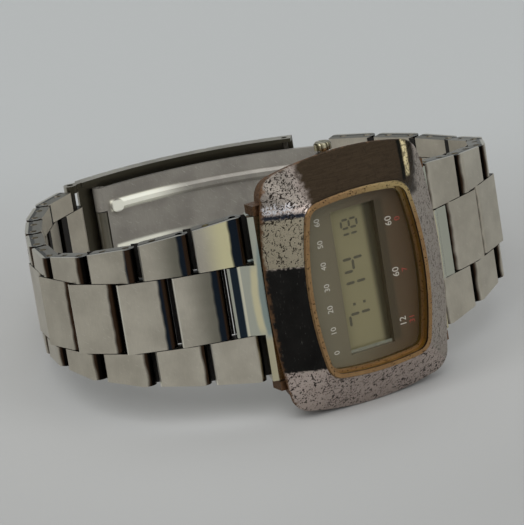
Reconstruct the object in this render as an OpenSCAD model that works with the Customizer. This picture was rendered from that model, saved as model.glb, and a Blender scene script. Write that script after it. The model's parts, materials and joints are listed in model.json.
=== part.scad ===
/* [Case] */
// Width of the case from 9 to 3 o'clock
case_w = 38.6; // [37:0.2:41]
// Length of the case from 12 to 6 o'clock
case_l = 29.4; // [28.8:0.2:32]
// Height of the window rim's top above the bezel's outer edge
bezel_h = 4.5; // [4.1:0.1:5]
// Height of the side wall below the bezel's outer edge
wall_h = 4.2; // [4:0.1:5]
// How far the side wall stands in from the bezel's edge
wall_in = 1.2; // [1:0.1:1.6]
// Radius that the long sides of the case bow to
side_bow_r = 92; // [70:1:140]
// Radius that the short sides of the case bow to
end_bow_r = 46; // [40:1:80]
// Corner radius of the bezel's outer edge
bezel_corner = 3.4; // [2.5:0.1:5]

/* [Window] */
// Width of the window rim from 9 to 3 o'clock
rim_w = 28; // [27:0.1:29]
// Length of the window rim from 12 to 6 o'clock
rim_l = 20.6; // [19.6:0.1:21.4]
// Width of the rim's visible face
rim_face = 0.9; // [0.7:0.1:1.3]
// Depth of the rim
rim_h = 2; // [1.7:0.1:2.1]
// Thickness of the crystal
crystal_t = 1; // [0.7:0.1:1.1]
// Depth of the crystal's face below the rim's top
crystal_drop = 0.25; // [0.1:0.05:0.5]

/* [Display] */
// Width of the display opening, 9 to 3 o'clock
lcd_w = 21.8; // [19:0.1:22.4]
// Length of the display opening, 12 to 6 o'clock
lcd_l = 7.4; // [6:0.1:7.8]
// Distance of the display's middle from the case's middle, towards 12
lcd_off = 0; // [0:0.1:0.6]
// Depth of the display below the mask's face
lcd_drop = 1.2; // [0.6:0.1:1.4]
// Thickness of each glass of the display
lcd_glass_t = 0.5; // [0.4:0.05:0.55]

/* [Back] */
// Thickness of the back cover
back_t = 1.1; // [0.9:0.1:1.4]
// Thickness of the case's end walls
end_wall_t = 2; // [1.6:0.1:2.4]

/* [Pusher] */
// Diameter of the pusher's cap
cap_d = 2.6; // [2.4:0.1:2.8]
// Height of the pusher's cap
cap_h = 1.1; // [0.8:0.1:1.4]
// Travel of the pusher
push_travel = 0.6; // [0.3:0.1:0.7]
// Diameter of the pusher's stem
stem_d = 1.1; // [0.9:0.1:1.1]
// Distance of the pusher from the case's middle, towards 12
push_off = 0.8; // [0:0.2:3]

/* [Bracelet] */
// Width of the bracelet at the case
band_w = 25; // [24:0.2:26]
// Width of the bracelet at the clasp
clasp_end_w = 16.8; // [16.4:0.2:17.6]
// Width of the centre row
centre_w = 10.6; // [9:0.2:11.4]
// Thickness of the links
link_t = 2.6; // [2.4:0.1:2.8]
// Distance between two hinge pins
pitch = 8; // [7.8:0.1:8.6]
// Gap between one link and the next in a row
link_gap = 0.6; // [0.5:0.05:0.8]
// Number of link units over which the bracelet tapers
taper_units = 4; // [3:1:6]
// Diameter of the hinge pins
pin_d = 1; // [0.8:0.1:1.2]

/* [Clasp] */
// Width of the clasp's cover
cover_w = 18; // [17.8:0.2:19]
// Depth of the cover's side walls
cover_h = 2.1; // [1.8:0.1:2.4]
// Sheet thickness of the cover
sheet_t = 0.5; // [0.4:0.05:0.6]
// Width of the inner blade
blade_w = 14.6; // [13:0.2:15.6]
// Thickness of the inner blade
blade_t = 0.7; // [0.6:0.05:0.8]
// Distance between the blade's two ribs
rib_pitch = 8.2; // [7:0.2:9]
// Radius that the clasp bends to
clasp_r = 46; // [42:1:60]

/* [Hidden] */
$fn = 48;

// Running clearance of a pin in its bore, slack between seated parts, and the gap between
// the rows of the bracelet
run = 0.04;
slack = 0.05;
row_gap = 0.12;
eps = 0.01;

// Directions of the link units in degrees, from straight out of the case towards the back:
// the bracelet is closed on its clasp and lies the way the photograph shows it
ANG_12 = [22, 31, 56, 81, 102, 112, 117, 126, 148];
ANG_6 = [24, 36, 63, 89, 108, 119, 129];
end_ang = 18;

// Levels of the case, from the bezel's outer edge (0) towards the front
rim_z = bezel_h;
rim_base_z = rim_z - rim_h;
crystal_z = rim_z - crystal_drop - crystal_t;
mask_t = 0.35;
mask_z = rim_base_z - slack;
lcd_z = mask_z - lcd_drop;
rear_z = lcd_z - lcd_glass_t - slack;
board_z = lcd_z - 2.2;
board_t = 0.5;
under_z = board_z - board_t;
back_z = -wall_h;
register_h = 0.6;
gasket_t = 0.25;

// Cavity of the case
cav_l = case_l - 2 * wall_in - 2 * end_wall_t - 1.6;
cav_w = case_w - 2 * wall_in - 6.8;
cav_corner = 2.4;

// The bezel's edge lies this far in front of the plane that the hinges are measured from
edge_y = -3.1;

// First hinge of each side
hinge_x = case_l / 2 + 1.6;
hinge_y = edge_y + wall_h - 0.2;

link_r = link_t / 2;
pin_r = pin_d / 2;
hc = centre_w / 2;
row_end = pitch - link_r - link_gap;
chamfer = 0.25;

// Hinge points of one side, measured as if it was the 6 side
function hinge(ang, i) = i == 0 ? [hinge_x, hinge_y]
    : hinge(ang, i - 1) + pitch * [cos(ang[i - 1]), sin(ang[i - 1])];
N_12 = len(ANG_12);
N_6 = len(ANG_6);
end_12 = hinge(ANG_12, N_12);
end_6 = hinge(ANG_6, N_6);

// Half width of the bracelet at a distance of i units from the case
function half_w(i) = band_w / 2 - (band_w - clasp_end_w) / 2 * min(i, taper_units) / taper_units;

// Circle that the clasp bends to, through the last hinge of each side
pa = [-end_12[0], end_12[1]];
pb = end_6;
chord = pb - pa;
half_chord = norm(chord) / 2;
normal = [chord[1], -chord[0]] / norm(chord);
arc_c = (pa + pb) / 2 + normal * sqrt(clasp_r * clasp_r - half_chord * half_chord);
arc_a = atan2(pa[1] - arc_c[1], pa[0] - arc_c[0]);
arc_b = atan2(pb[1] - arc_c[1], pb[0] - arc_c[0]);
function arc_deg(mm) = mm / clasp_r * 180 / PI;

// Radii of the clasp's parts from the middle of that circle
cover_ro = clasp_r + link_r;
cover_ri = cover_ro - sheet_t;
blade_ri = clasp_r - link_r;
blade_ro = blade_ri + blade_t;
leaf_ri = blade_ro + 0.15;
leaf_ro = leaf_ri + sheet_t;
leaf_w = 11;
fold_pin_r = 0.4;
fold_eye_r = (cover_ri - blade_ri) / 2 - 0.1;
fold_r = blade_ri + fold_eye_r + slack;
cover_pin_r = 0.45;
cover_pin_at = (blade_ro + cover_ri) / 2;
eye_r = link_r - 0.05;

// Places of the clasp's parts along that circle: the fold from the last hinge of the 12 side,
// the cover's free end from that of the 6 side, the cover's pin from that free end, and the
// gap between this pin and the leaf, where the linkage is open
fold_from_12 = 4.8;
cover_from_6 = 4.6;
pin_from_end = 1.1;
leaf_gap = 2.6;
fold_a = arc_a - arc_deg(fold_from_12);
cover_a0 = arc_b + arc_deg(cover_from_6);
cover_a1 = arc_a - arc_deg(link_r + 0.5);
cover_pin_a = cover_a0 + arc_deg(pin_from_end);
leaf_a0 = cover_pin_a + arc_deg(cover_pin_r + leaf_gap);
blade_a0 = arc_b + arc_deg(link_r + 0.4);

// The watch lies on its side, on the bezel's edge and on the clasp's edge, so it leans
clasp_y = arc_c[1] + cover_ro;
lean = atan((case_w / 2 - cover_w / 2) / (clasp_y - edge_y));
lift = case_w / 2 * cos(lean) + edge_y * sin(lean);

// Middle of the leaned watch's box, which the origin lies under
function reach(ang, n) = max([for (i = [0:n - 1]) for (t = [0, row_end])
    hinge(ang, i)[0] + t * cos(ang[i]) + link_r * sin(ang[i])]);
mid_x = (reach(ANG_6, N_6) - reach(ANG_12, N_12)) / 2;
front_y = (edge_y - rim_z) * cos(lean) - rim_w / 2 * sin(lean);
rear_y = clasp_y * cos(lean) + cover_w / 2 * sin(lean);
mid_y = (front_y + rear_y) / 2;

// Colours as the photograph shows them
chrome = [0.42, 0.38, 0.37];
gold = [0.62, 0.47, 0.28];
steel = [0.66, 0.65, 0.62];
dark_steel = [0.45, 0.44, 0.42];
olive = [0.25, 0.23, 0.18];
lcd_tint = [0.5, 0.48, 0.37];
rubber = [0.12, 0.12, 0.12];
board_green = [0.1, 0.35, 0.2];

// Puts the band's frame (bracelet axis along Z, dial towards -Y) on the surface
module resting() {
    translate([-mid_x, -mid_y, lift]) rotate([-lean, 0, 0]) children();
}

// Puts the dial's frame (x towards 6, y towards 3 o'clock, z to the front) in the band's frame
module dial_up() {
    resting() translate([0, edge_y, 0]) rotate([90, 0, 0]) children();
}

// Quarter of an outline with bowed sides and a round corner: half sizes a and b, bow radii
// ra and rb of the sides that cross the x and y axes, and corner radius rc
function corner_centre(a, b, ra, rb, rc) =
    let (p = [a - ra, 0], q = [0, b - rb], r1 = ra - rc, r2 = rb - rc,
         d = norm(q - p), u = (q - p) / d,
         t = (d * d + r1 * r1 - r2 * r2) / (2 * d), h = sqrt(r1 * r1 - t * t))
    p + u * t + h * [-u[1], u[0]];
function quarter(a, b, ra, rb, rc, n) =
    let (c = corner_centre(a, b, ra, rb, rc),
         a1 = atan2(c[1], c[0] - (a - ra)), a2 = atan2(c[1] - (b - rb), c[0]))
    concat(
        [for (i = [0:n]) [a - ra + ra * cos(a1 * i / n), ra * sin(a1 * i / n)]],
        [for (i = [1:n]) let (w = a1 + (a2 - a1) * i / n) c + rc * [cos(w), sin(w)]],
        [for (i = [1:n]) let (w = a2 + (90 - a2) * i / n) [rb * cos(w), b - rb + rb * sin(w)]]);
function inner(v) = [for (i = [1:len(v) - 2]) v[i]];
function backwards(v) = [for (i = [len(v) - 1:-1:0]) v[i]];
function outline(a, b, ra, rb, rc, n = 5) =
    let (q = quarter(a, b, ra, rb, rc, n), m = inner(q), w = backwards(m))
    concat(q, [for (p = w) [-p[0], p[1]]], [[-a, 0]],
        [for (p = m) [-p[0], -p[1]]], [[0, -b]], [for (p = w) [p[0], -p[1]]]);

// Outline that follows the case's bowed sides, in from the bezel's edge by d
function case_outline(d) = outline(case_l / 2 - d, case_w / 2 - d, side_bow_r, end_bow_r,
    max(bezel_corner - d / 2, 1));

// Outline that follows the window's bowed sides, in from the rim's edge by d
rim_side_r = 50;
rim_end_r = 44;
rim_corner = 2.9;
function rim_outline(d) = outline(rim_l / 2 - d, rim_w / 2 - d, rim_side_r - d, rim_end_r - d,
    max(rim_corner - d, 0.8));

// Closed skin through rings of points, each ring a pair of an outline and its level
module loft(rings) {
    n = len(rings[0][0]);
    m = len(rings);
    pts = [for (r = rings) for (p = r[0]) [p[0], p[1], r[1]]];
    sides = [for (k = [0:m - 2]) for (i = [0:n - 1]) let (j = (i + 1) % n)
        for (f = [[k * n + i, (k + 1) * n + j, k * n + j],
                  [k * n + i, (k + 1) * n + i, (k + 1) * n + j]]) f];
    polyhedron(points = pts, faces = concat(
        [[for (i = [0:n - 1]) i]], sides, [[for (i = [n - 1:-1:0]) (m - 1) * n + i]]));
}

module slab(shape, z0, z1) {
    translate([0, 0, z0]) linear_extrude(z1 - z0) polygon(shape);
}

module box(x0, x1, y0, y1, z0, z1) {
    translate([x0, y0, z0]) cube([x1 - x0, y1 - y0, z1 - z0]);
}

// Case

end_pocket_x = case_l / 2 - wall_in - 0.8;
bar_x = end_pocket_x + 0.9;
bar_z = -2.2;
bar_r = 0.6;
bar_tip_r = 0.38;
bar_tip = 0.9;
lug_w = 1.4;
lug_y = band_w / 2 + 0.15;
pusher_z = -2.2;
tube_r = 1.25;
wall_y = case_w / 2 - wall_in;

module case_body() color(chrome) dial_up() difference() {
    union() {
        loft([[case_outline(wall_in + 0.5), back_z], [case_outline(wall_in), back_z + 0.4],
            [case_outline(wall_in), -1], [case_outline(0.35), -0.4], [case_outline(0), 0],
            [case_outline(0.12), 0.25],
            [rim_outline(-0.15), rim_z - 0.55], [rim_outline(0.05), rim_z - 0.35]]);
        for (s = [-1, 1], e = [-1, 1])
            scale([s, e, 1]) box(cav_l / 2 + 1, bar_x + 0.75, lug_y, lug_y + lug_w,
                bar_z - 1.1, -0.7);
    }
    slab(outline(cav_l / 2, cav_w / 2, side_bow_r, end_bow_r, cav_corner),
        back_z - 1, mask_z + eps);
    slab(rim_outline(rim_face + 0.5), mask_z - eps, rim_z);
    slab(rim_outline(0.1), rim_base_z, rim_z + 1);
    for (s = [-1, 1]) scale([s, 1, 1]) {
        box(end_pocket_x, case_l, -lug_y, lug_y, back_z - 1, -0.95);
        for (e = [-1, 1]) translate([bar_x, e * lug_y, bar_z]) rotate([e * -90, 0, 0])
            translate([0, 0, -1]) cylinder(r = bar_tip_r + run, h = 1 + bar_tip + 0.1);
    }
    translate([-push_off, wall_y + 1, pusher_z]) rotate([90, 0, 0])
        cylinder(r = tube_r, h = 5);
}

module window_rim() color(gold) dial_up() difference() {
    loft([[rim_outline(0.12), rim_base_z], [rim_outline(0.12), rim_z - 0.3],
        [rim_outline(0.3), rim_z]]);
    slab(rim_outline(rim_face), crystal_z, rim_z + 1);
    slab(rim_outline(rim_face + 0.5), rim_base_z - 1, rim_z);
}

module crystal() color([0.8, 0.85, 0.85, 0.35]) dial_up()
    slab(rim_outline(rim_face + 0.03), crystal_z + eps, crystal_z + crystal_t);

mask_wall = 0.4;

module mask_opening(grow, z0, z1) {
    box(-lcd_off - lcd_l / 2 - grow, -lcd_off + lcd_l / 2 + grow,
        -lcd_w / 2 - grow, lcd_w / 2 + grow, z0, z1);
}

module dial_mask() color(olive) dial_up() difference() {
    union() {
        slab(outline(cav_l / 2 - slack, cav_w / 2 - slack, side_bow_r, end_bow_r, cav_corner),
            mask_z - mask_t, mask_z - slack);
        mask_opening(mask_wall, lcd_z + slack, mask_z - slack);
    }
    mask_opening(0, lcd_z - 1, mask_z + 1);
}

// Display and module

glass_side = 1.5;
glass_end = 0.7;
strip_w = 0.9;

module glass_plate(side, z0, z1) {
    mask_opening_l = lcd_l / 2 + side;
    box(-lcd_off - mask_opening_l, -lcd_off + mask_opening_l,
        -lcd_w / 2 - glass_end, lcd_w / 2 + glass_end, z0, z1);
}

module lcd_front_glass() color(lcd_tint) dial_up()
    glass_plate(glass_side, lcd_z - lcd_glass_t, lcd_z);

module lcd_rear_glass() color(lcd_tint) dial_up()
    glass_plate(glass_side - strip_w - 0.3, rear_z - lcd_glass_t, rear_z);

module lcd_reflector() color([0.6, 0.6, 0.55]) dial_up()
    glass_plate(glass_side - strip_w - 0.3, rear_z - lcd_glass_t - slack - 0.15,
        rear_z - lcd_glass_t - slack);

module connector_strips() color(rubber) dial_up() for (s = [-1, 1])
    translate([-lcd_off + s * (lcd_l / 2 + glass_side - strip_w / 2 - slack), 0, 0])
        box(-strip_w / 2, strip_w / 2, -lcd_w / 2, lcd_w / 2,
            board_z + slack, lcd_z - lcd_glass_t - slack);

board_l = cav_l - 2.8;
board_w = cav_w - 3.6;
notch_w = 3.2;

module module_frame() color([0.85, 0.83, 0.75]) dial_up() difference() {
    slab(outline(cav_l / 2 - slack, cav_w / 2 - slack, side_bow_r, end_bow_r, cav_corner),
        back_z + register_h + gasket_t + 2 * slack, mask_z - mask_t - slack);
    box(-lcd_off - lcd_l / 2 - glass_side - 0.1, -lcd_off + lcd_l / 2 + glass_side + 0.1,
        -lcd_w / 2 - glass_end - 0.1, lcd_w / 2 + glass_end + 0.1, back_z - 1, mask_z + 1);
    box(-board_l / 2 - 0.1, board_l / 2 + 0.1, -board_w / 2 - 0.1, board_w / 2 + 0.1,
        back_z - 1, board_z + slack);
    box(-push_off - notch_w / 2, -push_off + notch_w / 2, board_w / 2, cav_w,
        back_z - 1, pusher_z + tube_r + 0.2);
}

module circuit_board() color(board_green) dial_up() difference() {
    box(-board_l / 2, board_l / 2, -board_w / 2, board_w / 2, under_z, board_z);
    translate([cell_x, strap_y, under_z - 1]) cylinder(r = screw_bore_r, h = 3);
}

chip_half = 2.2;
chip_y = 3.4;
chip_t = 1.05;

module driver_chip() color(rubber) dial_up() {
    box(chip_x - chip_half, chip_x + chip_half, chip_y - chip_half, chip_y + chip_half,
        under_z - slack - chip_t, under_z - slack);
}

can_r = 0.75;
can_l = 6;
can_y = -7.6;

module quartz_can() color(steel) dial_up()
    translate([chip_x, can_y, under_z - can_r - slack]) rotate([-90, 0, 0]) {
        cylinder(r = can_r, h = can_l);
        translate([0, 0, -0.3]) cylinder(r = can_r - 0.15, h = 0.3);
    }

trimmer_r = 1.2;
trimmer_t = 0.6;
trimmer_y = 8.4;

module trimmer() color([0.7, 0.55, 0.3]) dial_up() translate([chip_x, trimmer_y, 0]) difference() {
    union() {
        translate([0, 0, under_z - trimmer_t]) cylinder(r = trimmer_r, h = trimmer_t - slack);
        translate([0, 0, under_z - trimmer_t - 0.3]) cylinder(r = trimmer_r - 0.4, h = 0.4);
    }
    box(-1, 1, -0.12, 0.12, under_z - 1, under_z - trimmer_t - 0.1);
}

cell_r = 4.4;
cell_x = -2.6;
cell_y = -5.6;
chip_x = cell_x + cell_r + 3.4;
strap_t = 0.14;
strap_half = 1.4;
screw_r = 0.36;
screw_head_r = 0.75;
screw_bore_r = screw_r + 0.06;
strap_y = cell_y + cell_r + 1.9;
cell_h = under_z - back_z - strap_t - 3 * slack;
cell_z = under_z - slack - cell_h;

module battery() color(steel) dial_up() translate([cell_x, cell_y, 0]) {
    translate([0, 0, cell_z + 0.4]) cylinder(r = cell_r, h = cell_h - 0.4);
    translate([0, 0, cell_z]) cylinder(r = cell_r - 0.7, h = 0.5);
}

module battery_strap() color(gold) dial_up() difference() {
    union() {
        box(cell_x - strap_half, cell_x + strap_half, cell_y - cell_r, strap_y - 0.9,
            cell_z - slack - strap_t, cell_z - slack);
        box(cell_x - strap_half, cell_x + strap_half, strap_y - 0.9 - strap_t, strap_y - 0.9,
            cell_z - slack - strap_t, under_z - slack);
        box(cell_x - strap_half, cell_x + strap_half, strap_y - 0.9 - strap_t, strap_y + 1,
            under_z - slack - strap_t, under_z - slack);
    }
    translate([cell_x, strap_y, under_z - 1]) cylinder(r = screw_bore_r, h = 3);
}

module strap_screw() color(steel) dial_up() translate([cell_x, strap_y, 0]) difference() {
    union() {
        translate([0, 0, under_z - 2 * slack - strap_t - 0.5]) cylinder(r = screw_head_r, h = 0.5);
        translate([0, 0, under_z - 2 * slack - strap_t - 0.1])
            cylinder(r = screw_r, h = board_t + strap_t + 0.1);
    }
    box(-1, 1, -0.1, 0.1, under_z - 1, under_z - 2 * slack - strap_t - 0.3);
}

contact_y = cav_w / 2 - 1.5;
contact_half = 0.6;
strip_t = 0.15;

module contact_spring() color(gold) dial_up() translate([-push_off, 0, 0]) {
    box(-contact_half, contact_half, board_w / 2 - 1.2, contact_y,
        under_z - slack - strip_t, under_z - slack);
    box(-contact_half, contact_half, contact_y - strip_t, contact_y,
        under_z - slack - strip_t, pusher_z + 0.5);
}

// Back

module back_gasket() color(rubber) dial_up() difference() {
    slab(outline(cav_l / 2 - slack, cav_w / 2 - slack, side_bow_r, end_bow_r, cav_corner),
        back_z + register_h + slack, back_z + register_h + slack + gasket_t);
    slab(outline(cav_l / 2 - 0.7, cav_w / 2 - 0.7, side_bow_r, end_bow_r, cav_corner - 0.6),
        back_z - 1, mask_z);
}

module case_back() color(steel) dial_up() difference() {
    union() {
        loft([[case_outline(wall_in + 2), back_z - back_t],
            [case_outline(wall_in + 1.3), back_z - back_t + 0.35],
            [case_outline(wall_in + 0.9), back_z - 0.3], [case_outline(wall_in + 0.9), back_z]]);
        slab(outline(cav_l / 2 - slack, cav_w / 2 - slack, side_bow_r, end_bow_r, cav_corner),
            back_z - eps, back_z + register_h);
    }
    slab(outline(cav_l / 2 - 0.8, cav_w / 2 - 0.8, side_bow_r, end_bow_r, cav_corner - 0.6),
        back_z, back_z + 2);
    for (s = [-1, 1]) scale([s, 1, 1])
        box(end_pocket_x - 0.1, case_l, -lug_y, lug_y, back_z - back_t - 1, back_z + 1);
}

// Pusher, with y along its axis towards the outside

tube_out = wall_y + 0.35;
tube_in = cav_w / 2 + slack;
seat_y = tube_out - 1.4;
bore_r = stem_d / 2 + 0.15;
spring_wire = 0.16;
spring_r = 0.8;
stem_in = contact_y + push_travel + slack;
cap_y = tube_out + push_travel + slack;
seal_y = (tube_in + seat_y) / 2;
cap_edge = 0.25;
seal_r = 0.13;
clip_t = 0.15;
clip_r = 1;

module on_pusher(y) {
    dial_up() translate([-push_off, y, pusher_z]) rotate([-90, 0, 0]) children();
}

module pusher_tube() color(dark_steel) on_pusher(tube_in) difference() {
    cylinder(r = tube_r - 0.01, h = tube_out - tube_in);
    translate([0, 0, -1]) cylinder(r = bore_r, h = tube_out);
    translate([0, 0, seat_y - tube_in]) cylinder(r = spring_r + 0.2, h = tube_out);
}

module pusher() color(steel) on_pusher(0) difference() {
    union() {
        translate([0, 0, stem_in]) cylinder(r = stem_d / 2, h = cap_y - stem_in + eps);
        translate([0, 0, cap_y]) cylinder(r = cap_d / 2, h = cap_h - cap_edge);
        translate([0, 0, cap_y + cap_h - cap_edge - eps])
            cylinder(r1 = cap_d / 2, r2 = cap_d / 2 - cap_edge, h = cap_edge + eps);
    }
    translate([0, 0, seal_y]) rotate_extrude() translate([stem_d / 2 + 0.02, 0])
        circle(r = seal_r + slack);
    translate([0, 0, stem_in + clip_t]) difference() {
        cylinder(r = stem_d, h = clip_t + slack);
        translate([0, 0, -1]) cylinder(r = stem_d / 2 - 0.15, h = 2);
    }
}

module pusher_seal() color(rubber) on_pusher(seal_y) rotate_extrude()
    translate([stem_d / 2 - 0.01, 0]) circle(r = seal_r);

module pusher_clip() color(steel) on_pusher(stem_in + clip_t + slack / 2) difference() {
    cylinder(r = clip_r, h = clip_t);
    translate([0, 0, -1]) cylinder(r = stem_d / 2 - 0.12, h = 2);
    translate([-0.3, 0, -1]) cube([0.6, 2, 2]);
}

spring_turns = 4;
spring_steps = 12;

module pusher_spring() color(steel) on_pusher(seat_y + spring_wire / 2 + slack) {
    n = spring_turns * spring_steps;
    m = 6;
    h = cap_y - seat_y - spring_wire - 2 * slack;
    pts = [for (i = [0:n]) for (k = [0:m - 1]) let (a = i * 360 / spring_steps, b = k * 360 / m,
        r = spring_r + spring_wire / 2 * cos(b))
        [r * cos(a), r * sin(a), h * i / n + spring_wire / 2 * sin(b)]];
    sides = [for (i = [0:n - 1]) for (k = [0:m - 1]) let (j = (k + 1) % m)
        for (f = [[i * m + k, i * m + j, (i + 1) * m + j],
                  [i * m + k, (i + 1) * m + j, (i + 1) * m + k]]) f];
    polyhedron(points = pts, faces = concat([[for (k = [m - 1:-1:0]) k]], sides,
        [[for (k = [0:m - 1]) n * m + k]]));
}

// Bracelet. A link's profile lies in the plan, x along the unit and y towards the wrist

// Side view of a link from its round end at x = 0 to its square end
module link_profile(length) {
    circle(r = link_r);
    polygon([[0, -link_r], [length - chamfer, -link_r], [length, -link_r + chamfer],
        [length, link_r - chamfer], [length - chamfer, link_r], [0, link_r]]);
}

module pin_bore(x) {
    translate([x, 0, -band_w]) cylinder(r = pin_r + run, h = 2 * band_w);
}

module pin(x, half) {
    translate([x, 0, -half]) cylinder(r = pin_r, h = 2 * half);
}

// How far the pins end below the outer links' faces
pin_in = 0.35;

// One unit: an outer pair on the hinge and a centre link half a pitch further, with the
// fixed pin that joins them and the hinge pin that the next unit turns on
module link_unit(i, last) {
    w0 = half_w(i);
    w1 = half_w(i + 1);
    difference() {
        intersection() {
            translate([0, 0, -band_w]) linear_extrude(2 * band_w) link_profile(row_end);
            rotate([90, 0, 0]) translate([0, 0, -band_w / 2]) linear_extrude(band_w)
                polygon([[-pitch, -w0], [0, -w0], [pitch, -w1], [pitch, w1], [0, w0], [-pitch, w0]]);
        }
        translate([-pitch, -link_t, -hc - row_gap]) cube([3 * pitch, 2 * link_t, centre_w + 2 * row_gap]);
        pin_bore(0);
        pin_bore(pitch / 2);
    }
    difference() {
        translate([pitch / 2, 0, -hc]) linear_extrude(centre_w) {
            if (last) {
                link_profile(pitch / 2);
                translate([pitch / 2, 0]) circle(r = link_r);
            } else {
                link_profile(row_end);
            }
        }
        pin_bore(pitch / 2);
        pin_bore(pitch);
    }
    pin(pitch / 2, w1 - pin_in);
    if (!last) pin(pitch, w1 - pin_in);
}

module on_side(side) {
    resting() scale([side, 1, 1]) children();
}

module at_hinge(ang, i) {
    translate([hinge(ang, i)[0], hinge(ang, i)[1], 0]) rotate([0, 0, ang[i]]) children();
}

module link_12(i) color(steel) on_side(-1) at_hinge(ANG_12, i - 1)
    link_unit(i - 1, i == N_12);

module link_6(i) color(steel) on_side(1) at_hinge(ANG_6, i - 1)
    link_unit(i - 1, i == N_6);

// End link: a thick root against the case, two short bars and a centre tab with the first pin
module end_link(side) color(steel) on_side(side) {
    root_x = end_pocket_x + 0.1;
    top_y = edge_y + 1.05;
    tab = pitch / 2 - link_r - link_gap;
    w = band_w / 2;
    difference() {
        union() {
            difference() {
                translate([0, 0, -w]) linear_extrude(band_w) polygon([[root_x, top_y],
                    [hinge_x - 2, top_y], [hinge_x - 1.3, top_y + 0.35],
                    [hinge_x, hinge_y], [hinge_x - 1, hinge_y + link_r - 0.35],
                    [root_x, hinge_y + link_r - 1]]);
                translate([hinge_x, hinge_y, -band_w]) rotate([0, 0, end_ang])
                    translate([-link_r - link_gap, -5, 0]) cube([9, 10, 2 * band_w]);
            }
            translate([0, 0, -hc]) linear_extrude(centre_w) {
                polygon([[root_x, top_y], [hinge_x - 2, top_y], [hinge_x - 1.1, top_y + 0.35],
                    [hinge_x + link_r * sin(end_ang), hinge_y - link_r * cos(end_ang)],
                    [hinge_x - link_r * sin(end_ang), hinge_y + link_r * cos(end_ang)],
                    [root_x, hinge_y + link_r - 1]]);
                translate([hinge_x, hinge_y]) rotate(end_ang) polygon([[-1, -link_r],
                    [tab - chamfer, -link_r], [tab, -link_r + chamfer], [tab, link_r - chamfer],
                    [tab - chamfer, link_r], [-1, link_r]]);
            }
        }
        translate([hinge_x, hinge_y, 0]) pin_bore(0);
        translate([bar_x, edge_y - bar_z, -band_w]) cylinder(r = bar_r + run, h = 2 * band_w);
    }
    translate([hinge_x, hinge_y, 0]) pin(0, w - pin_in);
}

module end_bar(side) color(dark_steel) on_side(side) translate([bar_x, edge_y - bar_z, 0]) {
    translate([0, 0, -band_w / 2 + 0.1]) cylinder(r = bar_r, h = band_w - 0.2);
    translate([0, 0, -lug_y - bar_tip]) cylinder(r = bar_tip_r, h = 2 * (lug_y + bar_tip));
}

// Clasp. A part of it is a sector about the middle of the clasp's circle

module arc_at(a, r) {
    translate([arc_c[0], arc_c[1], 0]) rotate([0, 0, a]) translate([r, 0, 0]) children();
}

module sector(a0, a1, r0, r1, z0, z1) {
    translate([arc_c[0], arc_c[1], 0]) rotate([0, 0, a0]) rotate_extrude(angle = a1 - a0, $fn = 96)
        translate([r0, z0]) square([r1 - r0, z1 - z0]);
}

groove_pitch = 2.7;
groove_w = 0.35;
groove_t = 0.22;

cover_wall = 0.6;
cover_lug = 1.2;

module clasp_cover() color(steel) resting() {
    lug_r = eye_r - 0.2;
    half = cover_w / 2;
    grooves = floor((cover_a1 - cover_a0) / arc_deg(groove_pitch)) - 1;
    difference() {
        union() {
            sector(cover_a0, cover_a1, cover_ro - cover_h, cover_ro, -half, half);
            for (s = [-1, 1]) scale([1, 1, s]) arc_at(arc_a, clasp_r)
                translate([0, 0, half - cover_lug]) {
                    cylinder(r = lug_r, h = cover_lug);
                    rotate([0, 0, -90]) translate([0, -0.6 * lug_r, 0])
                        cube([link_r + 1, 1.2 * lug_r, cover_lug]);
                }
        }
        sector(cover_a0 - 1, cover_a1 + 1, cover_ro - cover_h - 1, cover_ri,
            cover_wall - half, half - cover_wall);
        for (i = [1:grooves]) arc_at(cover_a0 + i * arc_deg(groove_pitch), cover_ro)
            translate([-groove_t, -groove_w / 2, -cover_w]) cube([1, groove_w, 2 * cover_w]);
        arc_at(cover_pin_a, cover_pin_at) translate([0, 0, -cover_w])
            cylinder(r = cover_pin_r + run / 2, h = 2 * cover_w);
        arc_at(arc_a, clasp_r) translate([0, 0, -cover_w]) cylinder(r = pin_r + run, h = 2 * cover_w);
    }
}

module cover_pin() color(dark_steel) resting() arc_at(cover_pin_a, cover_pin_at)
    translate([0, 0, -cover_w / 2 + 0.1]) cylinder(r = cover_pin_r, h = cover_w - 0.2);

module cover_bar() color(dark_steel) resting() arc_at(arc_a, clasp_r)
    translate([0, 0, -cover_w / 2 + 0.15]) cylinder(r = pin_r, h = cover_w - 0.3);

fold_knuckle = 3.4;
rib_r = 0.85;
rib_h = 0.6;
rib_inset = 2.2;

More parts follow.
